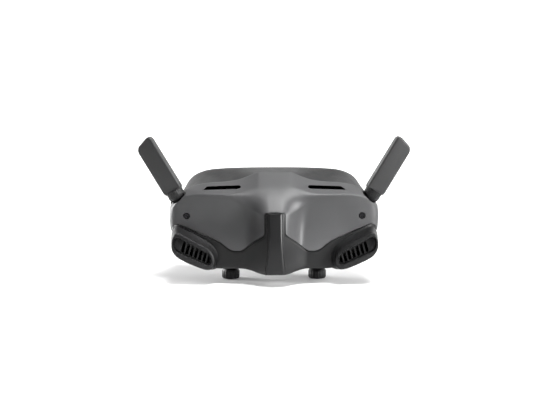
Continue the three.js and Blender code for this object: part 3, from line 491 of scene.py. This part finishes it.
def cover_point(u, v, thick=0.0):
    """A point on the cover: v runs up the face, over the crease and back along the ledge."""
    x, w = station(abs(u))
    crease_z = crease_height(x) - 0.6 * thick
    bend = crease_radius(x)
    crease = (plan(face_depth, x, w, crease_z, thick), crease_z)
    back = (SEAM_Y, top_edge(x) - thick)
    run = math.hypot(back[0] - crease[0], back[1] - crease[1])
    reach = min(bend, 0.8 * run) / run
    ledge = (lerp(crease[0], back[0], reach), lerp(crease[1], back[1], reach))
    if v < 0.6:
        z = lerp(COVER_LOW, crease_z - bend, v / 0.6)
        y = plan(face_depth, x, w, z, thick)
    elif v < 0.8:
        start = (plan(face_depth, x, w, crease_z - bend, thick), crease_z - bend)
        y, z = bend_path(start, crease, ledge, (v - 0.6) / 0.2)
    else:
        y, z = (lerp(a, b, (v - 0.8) / 0.2) for a, b in zip(ledge, back))
    return math.copysign(x * (half_width_at(z) - thick) / HALF_WIDTH, u), y, z


def shroud_point(u, v, thick=0.0):
    """A point on the shroud: v runs down the face, round the edge and back along the floor."""
    x, w = station(abs(u))
    floor = floor_height(x) + thick
    edge = (plan(lower_depth, x, w, floor, thick), floor)
    rear = (SEAM_Y, max(floor, FLOOR_Z + thick))
    inner = (edge[0] + min(FLOOR_EDGE_R, 0.6 * (rear[0] - edge[0])), edge[1])
    if v < 0.6:
        z = lerp(SHROUD_HIGH, floor + FLOOR_EDGE_R, v / 0.6)
        y = plan(lower_depth, x, w, z, thick)
    elif v < 0.8:
        start = (plan(lower_depth, x, w, floor + FLOOR_EDGE_R, thick), floor + FLOOR_EDGE_R)
        y, z = bend_path(start, edge, inner, (v - 0.6) / 0.2)
    else:
        y, z = (lerp(a, b, (v - 0.8) / 0.2) for a, b in zip(inner, rear))
    return math.copysign(x * (half_width_at(max(COVER_LOW, z)) - 2 * GAP - thick) / HALF_WIDTH, u), y, z


def shell(name, point, columns, rows, mat):
    """A closed wall between a surface and the same surface moved in by WALL."""
    us = [-1 + 2 * (i + 0.5) / columns for i in range(columns)]
    us[0], us[-1] = -1.0, 1.0
    vs = [j / rows for j in range(rows + 1)]
    grid = [[point(u, v) for v in vs] + [point(u, v, WALL) for v in reversed(vs)] for u in us]
    return loft(name, grid, mat)


# corners of the seam as (x, z, rounding), from the nose strip's top out to the side
SEAM = [(5.6, 58.2, 2), (8.3, 57.6, 2), (8.3, 41.4, 1.5), (26, 27, 2.5), (34, 26.8, 4), (45, 34.6, 5),
        (77.4, 46.7, 3), (80.8, 45.2, 2.4), (82.5, 39.4, 1.2), (90, 38.6, 1), (90, -10, 1)]


def below_seam(grow):
    """The region below the seam line, as a prism through the whole depth."""
    knots = [(x + (grow if x < 30 else 0), z + grow, r) for x, z, r in SEAM]
    half = [(0.0, knots[0][1])]
    for a, b, c in zip(knots, knots[1:], knots[2:]):
        ends = []
        for q in (a, c):
            t = min(0.5, b[2] / math.hypot(q[0] - b[0], q[1] - b[1]))
            ends.append((lerp(b[0], q[0], t), lerp(b[1], q[1], t)))
        half += [tuple(bend_path(ends[0], b[:2], ends[1], k / 8)) for k in range(9)]
    half += [(90.0, -10.0), (0.0, -10.0)]
    outline = half[:-1] + [(-x, z) for x, z in reversed(half[1:-1])]
    return prism("below_seam", "y", outline, (-70, 20), TRIM)


def ball(name, centre, radius, mat, steps=24):
    angles = [-math.pi / 2 + math.pi * k / steps for k in range(steps + 1)]
    profile = [(max(0.0, radius * math.cos(a)), radius * math.sin(a)) for a in angles]
    return lathe(name, profile, "z", centre, mat, 48)


def with_mirror(obj):
    return [obj, mirror_x(obj, obj.name + "_m")]


def socket_pockets(mat):
    """The round hollows at the upper corners that take the antenna sockets."""
    return with_mirror(ball("pocket", PIVOT, POCKET_R, mat))


def knob_slots(mat):
    """The slots in the floor that the knobs slide along."""
    return with_mirror(prism("knob_slot", "z", rounded_rect((32, KNOB_Y), 20.8, 10.8, 5.4), (5, 26), mat))


TOP_SLOT = [(29.7, 74.3), (26.6, 75.1), (26.7, 76.6), (27.8, 77.1), (53.3, 75.9), (57, 73.2)]


def front_cover():
    """The grey upper half, with its ledge slots, screw holes and socket pockets."""
    cover = shell("front_cover_look", cover_point, 260, 110, COVER)
    slot = prism("slot", "y", TOP_SLOT, (-50, 0), COVER)
    soften(slot, 0.8, 3)
    bore = [(0, -60), (SCREW_HOLE_R, -60), (SCREW_HOLE_R, 0), (0, 0)]
    hole = lathe("hole", bore, "y", (SCREW_X, 0, SCREW_Z), COVER, 40)
    combine(cover, [below_seam(0), *with_mirror(slot), *with_mirror(hole), *socket_pockets(COVER)])
    soften(cover, 0.3, 2, 40)
    return finish_piece(cover, "housing", "front_cover")


# closed outlines of a vent cowl as (x, z): where it leaves the shroud, its front lip, and its mouth
COWL_ROOT = [(41, 21.7), (43.5, 30.4), (50, 35), (60, 39), (70, 42.6), (77, 44.4), (81.2, 40.7), (82, 32.7),
             (80.3, 24.8), (73, 17.6), (62, 12.9), (52, 10.3), (44.5, 12.4)]
COWL_LIP = [(47.4, 18.8), (48.7, 24.4), (51.9, 28.7), (57.4, 32.2), (63.1, 35.2), (68.9, 38.4), (74.6, 41.4),
            (78.2, 41), (80.5, 37.6), (81.3, 32.2), (80.2, 27), (76.8, 22.5), (71.2, 19.2), (63.2, 15.6),
            (54.5, 12.6), (49.6, 13.4)]
COWL_MOUTH = [(49.9, 20), (50.9, 23.8), (53.8, 26.4), (59.1, 29.2), (64.9, 32.4), (71.5, 36), (76.4, 38),
              (79, 36.6), (79.6, 32.6), (78.4, 28.6), (74.8, 26), (69.5, 23.6), (62.6, 20.6), (56.3, 17.6),
              (52.9, 16.6), (50.8, 17.4)]


def seam_rebate():
    """The shallow step along the shroud's top edge, which makes the seam a groove."""
    us = [-1 + 2 * i / 200 for i in range(201)]
    vs = [j / 60 for j in range(61)]
    grid = [
        [shroud_point(u, v, -0.6) for v in vs] + [shroud_point(u, v, 1.0) for v in reversed(vs)]
        for u in us
    ]
    layer = loft("rebate", grid, TRIM)
    return combine(layer, [below_seam(-GAP - 0.8)])


def lower_shroud():
    """The dark lower half: a shell with two vent cowls, cut along the seam."""
    root, lip, mouth = (loop(points, 96) for points in (COWL_ROOT, COWL_LIP, COWL_MOUTH))

    def between(t):
        return [(lerp(p[0], q[0], t), lerp(p[1], q[1], t)) for p, q in zip(root, lip)]

    cowl = loft_y("cowl", [
        (-13, root), (-25, root), (-28, between(0.14)), (-31, between(0.42)), (-34, between(0.72)),
        (-37, between(0.92)), (-39.3, between(0.97)), (-40.1, inset(lip, 0.3)), (-40.5, inset(lip, 0.9)),
    ], TRIM)
    cavity = loft_y("cavity", [
        (-15, inset(root, WALL)), (-26, inset(root, WALL + 0.4)), (-34, mouth), (-39.8, mouth),
        (-41.5, inset(mouth, -0.9)),
    ], TRIM)
    body = shell("lower_shroud_look", shroud_point, 260, 60, TRIM)
    combine(body, with_mirror(cowl), "UNION")
    combine(body, [*with_mirror(cavity), strip_pocket(), *knob_slots(TRIM)])
    combine(body, [below_seam(-GAP)], "INTERSECT")
    combine(body, [seam_rebate()])
    soften(body, 0.3, 2, 40)
    return finish_piece(body, "housing", "lower_shroud")


STRIP_LOW, STRIP_HIGH = 10.4, 57.4


def strip_pocket():
    """The channel down the nose of the shroud that the strip lies in."""
    rows = []
    for i in range(60):
        z = lerp(STRIP_LOW, STRIP_HIGH, i / 59)
        half, y = nose_half_width(z) + GAP, nose_depth(z)
        rows.append([(-half, y - 6, z), (half, y - 6, z), (half, y + 1.5, z), (-half, y + 1.5, z)])
    return loft("pocket", rows, TRIM)


def nose_strip():
    """The raised strip down the nose, with chamfered long edges."""
    chamfer = 1.3
    rows = []
    for i in range(80):
        z = lerp(STRIP_LOW, STRIP_HIGH, i / 79)
        half, y = nose_half_width(z), nose_depth(z)
        rows.append([
            (-half, y + 0.25, z), (-half + chamfer, y - 0.55, z), (half - chamfer, y - 0.55, z),
            (half, y + 0.25, z), (half, y + 1.2, z), (-half, y + 1.2, z),
        ])
    strip = loft("nose_strip_look", rows, STRIP)
    soften(strip, 0.25, 3, 15)
    return finish_piece(strip, "housing", "nose_strip")


# ---------------------------------------------------------------- rear frame and seal

# half outlines of the rear frame as (x, z), top to bottom; the two match knot by knot
RING = 240
FRAME_FRONT = loop(mirrored([
    (0, 85.4), (13.5, 85.1), (26, 80.2), (41, 77.8), (56, 76.8), (67, 73.6), (75.5, 68.4), (80.8, 60),
    (82, 50), (80.6, 38), (74.6, 26.6), (65, 19), (50, 14), (30, 13.4), (15, 13.4), (0, 13.4),
]), RING)
FRAME_REAR = loop(mirrored([
    (0, 88), (20, 87.9), (38, 87.2), (51, 86.1), (61, 83), (68, 78), (73, 70), (76.5, 60),
    (77.5, 50), (76.5, 40), (73, 30), (64, 21.5), (50, 17), (32, 16.5), (17, 27), (0, 41),
]), RING)
SIDE_Y = -1


def rear_y(x):
    """How far back the frame's rear edge lies: it wraps round the face towards the sides."""
    return 16 + 18 * (abs(x) / 77.5) ** 3


def rear_frame():
    """The ring behind both shells, with the holes for what sits in its sides and floor."""
    front_in, rear_in = inset(FRAME_FRONT, WALL), inset(FRAME_REAR, WALL)
    rows = []
    for f, r, fi, ri in zip(FRAME_FRONT, FRAME_REAR, front_in, rear_in):
        y0, y1 = SEAM_Y + GAP, rear_y(r[0])
        steps = [k / 8 for k in range(9)]
        outer = [(lerp(f[0], r[0], t), lerp(y0, y1, t), lerp(f[1], r[1], t)) for t in steps]
        rows.append([*outer, (ri[0], y1, ri[1]), (fi[0], y0, fi[1])])
    ring = loft("rear_frame_look", rows, FRAME, closed=True)
    tools = [*socket_pockets(FRAME), *knob_slots(FRAME)]
    tools.append(prism("pad_hole", "x", rounded_rect((SIDE_Y, 52), 15.6, 22.6, 4.3), (-90, -70), FRAME))
    for z, height, width in ((58.5, 2.6, 12.4), (51, 4.4, 10.4)):
        outline = rounded_rect((SIDE_Y, z), width + 2 * GAP, height + 2 * GAP, height / 2 + GAP)
        tools.append(prism("socket_hole", "x", outline, (70, 90), FRAME))
    bore = [(0, 70), (3.4, 70), (3.4, 90), (0, 90)]
    tools.append(lathe("jack_hole", bore, "x", (0, SIDE_Y, 43), FRAME, 40))
    for x, r in ((-51, 3.7), (51, 2.9)):
        tools.append(lathe("button_hole", [(0, 5), (r, 5), (r, 19), (0, 19)], "z", (x, -3, 0), FRAME, 40))
    soften(combine(ring, tools), 0.35, 2, 40)
    # room inside the floor for each eyepiece's arm and knob boss at the end of their travel
    arm_room = prism("arm_room", "y", rounded_rect((23.4, 21.2), 13.8, 6, 0.5), (-7.6, -2.4), FRAME)
    boss_room = prism("boss_room", "z", rounded_rect((31.5, KNOB_Y), 20.4, 13.2, 6.6), (18, 25), FRAME)
    combine(ring, [*with_mirror(arm_room), *with_mirror(boss_room)])
    smooth(ring, 40)
    return finish_piece(ring, "housing", "rear_frame")


SEAL_VOXEL, SEAL_BASE, SEAL_SWELL = 0.0032, 0.0035, 0.0022


def face_foam():
    """The seal, puffed a little by a short cloth simulation and held at its base."""
    foam = copy_of("face_foam", FOAM)
    remesh = foam.modifiers.new("remesh", "REMESH")
    remesh.mode = "VOXEL"
    remesh.voxel_size = SEAL_VOXEL
    apply_modifiers(foam)
    rest = [v.co.copy() for v in foam.data.vertices]
    base = foam.vertex_groups.new(name="base")
    held = [v.index for v in foam.data.vertices if v.co.y < rear_y(v.co.x / MM) * MM + SEAL_BASE]
    base.add(held, 1.0, "REPLACE")
    cloth = foam.modifiers.new("cloth", "CLOTH")
    cloth.settings.use_pressure = True
    cloth.settings.uniform_pressure_force = 4.0
    cloth.settings.effector_weights.gravity = 0.0
    cloth.settings.vertex_group_mass = "base"
    cloth.settings.tension_stiffness = 30
    cloth.settings.bending_stiffness = 8
    for step in range(1, 21):
        bpy.context.scene.frame_set(step)
    apply_modifiers(foam)
    bpy.context.scene.frame_set(1)
    for vertex, start in zip(foam.data.vertices, rest):
        move = vertex.co - start
        if move.length > SEAL_SWELL:
            vertex.co = start + move.normalized() * SEAL_SWELL
    even = foam.modifiers.new("even", "SMOOTH")
    even.factor, even.iterations = 0.5, 4
    rounder = foam.modifiers.new("rounder", "SUBSURF")
    rounder.levels = rounder.render_levels = 2
    apply_modifiers(foam)
    foam.data.shade_smooth()
    finish_piece(foam, "housing", "face_foam")
    return foam


# ---------------------------------------------------------------- antennas

ANTENNA_LEAN, ANTENNA_TWIST = 31, 14


def antenna(side, name):
    """A flat rounded blade with a slanted tip, on a fluted collar and a ball knuckle."""
    half, low, high = 7.9, 1.4, 49.8
    corners = [
        ((-half, low + 3), (-half, low), (-half + 3, low)),
        ((half - 4, low), (half, low), (half, low + 4)),
        ((half, high - 8.5), (half, high - 4.5), (half - 3.2, high - 2.6)),
        ((-half + 4.6, high - 0.2), (-half, high + 0.6), (-half, high - 4.5)),
    ]
    outline = [tuple(bend_path(*corner, k / 8)) for corner in corners for k in range(9)]
    blade = prism("blade", "y", outline, (-4.1, 2.9), BLADE)
    soften(blade, 1.5, 6, 45)
    angles = [-math.pi / 2 * (1 - k / 16) for k in range(17)]
    profile = [(BALL_R * math.cos(a), BALL_R * math.sin(a)) for a in angles]
    profile[0] = (0.0, -BALL_R)
    parts = [blade, lathe("knuckle", [*profile, (0.0, 0.0)], "z", (0, 0, 0), BLACK, 64)]
    flutes = 26
    collar_profile = ((-2.6, 5.9, 0), (-2.4, 6.3, 0.1), (-1.9, 6.6, 0.32), (2.2, 6.9, 0.32), (2.8, 6.8, 0.1),
                      (3.0, 6.4, 0))
    collar = []
    for z, r, depth in collar_profile:
        collar.append([
            ((r - depth * (k // 2 % 2)) * math.cos(math.pi * k / flutes / 2),
             (r - depth * (k // 2 % 2)) * math.sin(math.pi * k / flutes / 2), z)
            for k in range(4 * flutes)
        ])
    parts.append(loft("collar", collar, BLACK))
    bpy.ops.object.select_all(action="DESELECT")
    for part in parts:
        smooth(part, 50)
        part.select_set(True)
    bpy.context.view_layer.objects.active = blade
    bpy.ops.object.join()
    if side < 0:
        blade.data.transform(Matrix.Scale(-1, 4, (1, 0, 0)))
        blade.data.flip_normals()
    place = Matrix.Translation(Vector((side * PIVOT[0], PIVOT[1], PIVOT[2])) * MM)
    place @= Matrix.Rotation(side * math.radians(ANTENNA_LEAN), 4, "Y")
    place @= Matrix.Rotation(side * math.radians(ANTENNA_TWIST), 4, "Z")
    blade.data.transform(place)
    return finish_piece(blade, "antenna_" + name, "antenna_" + name)


# ---------------------------------------------------------------- knobs and eyepieces

def focus_knob(side, name):
    """A knurled grip on a neck and shaft; each height is (z, radius, how deep the knurl is there)."""
    ribs, groove, rows = 20, 0.35, []
    heights = [(0.0, 5.6, 0), (0.0, 6.0, 0), (0.3, 6.5, 0), (0.8, 6.85, 0.3), (1.2, 7.15, 1), (6.0, 7.15, 1),
               (6.5, 6.85, 0.3), (6.8, 6.65, 0), (7.2, 6.6, 0), (8.2, 6.1, 0), (8.6, 5.7, 0), (8.6, 1.6, 0),
               (31.2, 1.6, 0)]
    for z, r, knurl in heights:
        row = []
        for k in range(6 * ribs):
            a = 2 * math.pi * k / (6 * ribs)
            reach = r - knurl * (groove if (k // 3) % 2 else 0)
            row.append((side * EYE_X + reach * math.cos(a), KNOB_Y + reach * math.sin(a), z))
        rows.append(row)
    knob = loft("knob", rows, BLACK)
    smooth(knob, 40)
    return finish_piece(knob, "knob_" + name, "focus_knob_" + name)


def eyepiece(side, name):
    """The rubber guard round the eyepiece and the domed lens inside it."""
    centre = (side * EYE_X, 0, EYE_Z)
    lip = [(14.4, 11.3), (16.4, 11.3), (16.35, 15), (16.1, 16.8), (15.7, 17.4), (15.1, 17.5), (14.6, 17.1),
           (14.4, 16.4)]
    guard = lathe("guard", lip, "y", centre, RUBBER)
    smooth(guard, 50)
    finish_piece(guard, "carriage_" + name, "eyepiece_guard_" + name)
    r, rim, crown = 14.1, 4.8, 2.5
    angles = [math.pi / 2 * k / 12 for k in range(12, -1, -1)]
    dome = [(r * math.sin(a), rim + crown * math.cos(a)) for a in angles]
    glass = lathe("lens", [(0, 3.2), (r - 0.6, 3.2), (r, 3.8), *dome], "y", centre, GLASS)
    smooth(glass, 40)
    finish_piece(glass, "focus_" + name, "eyepiece_lens_" + name)


# ---------------------------------------------------------------- floor

def backdrop():
    """A pale floor that sweeps up into a wall behind the object, with a painted glow: it gives off light of
    its own, faint under the object and strong on the wall behind.
    """
    reach, start, bend, height = 9000, 1500, 1000, 4000
    angles = [math.pi / 2 * k / 16 for k in range(1, 17)]
    profile = [(-reach, 0), (start, 0)]
    profile += [(start + bend * math.sin(a), bend - bend * math.cos(a)) for a in angles]
    profile.append((start + bend, height))
    points = [(x, y, z) for y, z in profile for x in (-reach, reach)]
    faces = [(2 * i, 2 * i + 1, 2 * i + 3, 2 * i + 2) for i in range(len(profile) - 1)]
    pale = material("floor", (0.7, 0.7, 0.7), 0.7, grain=0.05, mottle=0.01, wear=0.0)
    tree = pale.node_tree
    # painted glow: emission rises from faint in front of the object to strong on the wall behind, so floor
    # and wall shine like a lamp
    shader = tree.nodes["Principled BSDF"]
    shader.inputs["Emission Color"].default_value = (1.0, 1.0, 1.0, 1.0)
    place = tree.nodes.new("ShaderNodeSeparateXYZ")
    tree.links.new(tree.nodes.new("ShaderNodeTexCoord").outputs["Object"], place.inputs[0])
    glow = tree.nodes.new("ShaderNodeMapRange")
    for key, value in (("From Min", 0.2), ("From Max", 1.2), ("To Min", 0.05), ("To Max", 1.2)):
        glow.inputs[key].default_value = value
    tree.links.new(place.outputs["Y"], glow.inputs["Value"])
    tree.links.new(glow.outputs["Result"], shader.inputs["Emission Strength"])
    floor = new_object("floor", points, faces, pale)
    floor.data.shade_smooth()
    return floor


# ---------------------------------------------------------------- the object

front_cover()
lower_shroud()
nose_strip()
rear_frame()
face_foam()
refine("face_plate", "housing", BLACK, 0.4)
refine("touch_pad", "housing", GLOSS, 0.4)
refine("proximity_window", "housing", GLOSS, 0.2)
for node in ("card_socket", "power_port", "audio_jack"):
    refine(node, "housing", DARK_STEEL, 0.15)
for node in ("back_button", "link_button"):
    refine(node, node, BLACK, 0.4)
for name, side in (("left", 1), ("right", -1)):
    antenna(side, name)
    focus_knob(side, name)
    eyepiece(side, name)
    refine("vent_grille_" + name, "housing", BLACK, 0.2)
    refine("front_screw_" + name, "housing", DARK_STEEL, 0.2)
    refine("strap_lug_" + name, "housing", TRIM, 0.3)
    refine("fan_housing_" + name, "housing", BLACK, 0.2)
    refine("fan_rotor_" + name, "fan_" + name, BLACK, 0.1)
    refine("lens_barrel_" + name, "carriage_" + name, BLACK, 0.2)
    refine("lens_cell_" + name, "focus_" + name, BLACK, 0.1)
    refine("detent_sleeve_" + name, "sleeve_" + name, BLACK, 0.2)
    repaint("display_panel_" + name, GLOSS)
    repaint("guide_rod_lower_" + name, STEEL)
    repaint("antenna_pin_" + name, STEEL)
    repaint("antenna_socket_" + name, BLACK)
repaint("chassis", DARK_STEEL)
repaint("heat_sink", DARK_STEEL)
repaint("guide_rod_upper", STEEL)
repaint("main_board", BOARD)

floor = backdrop()
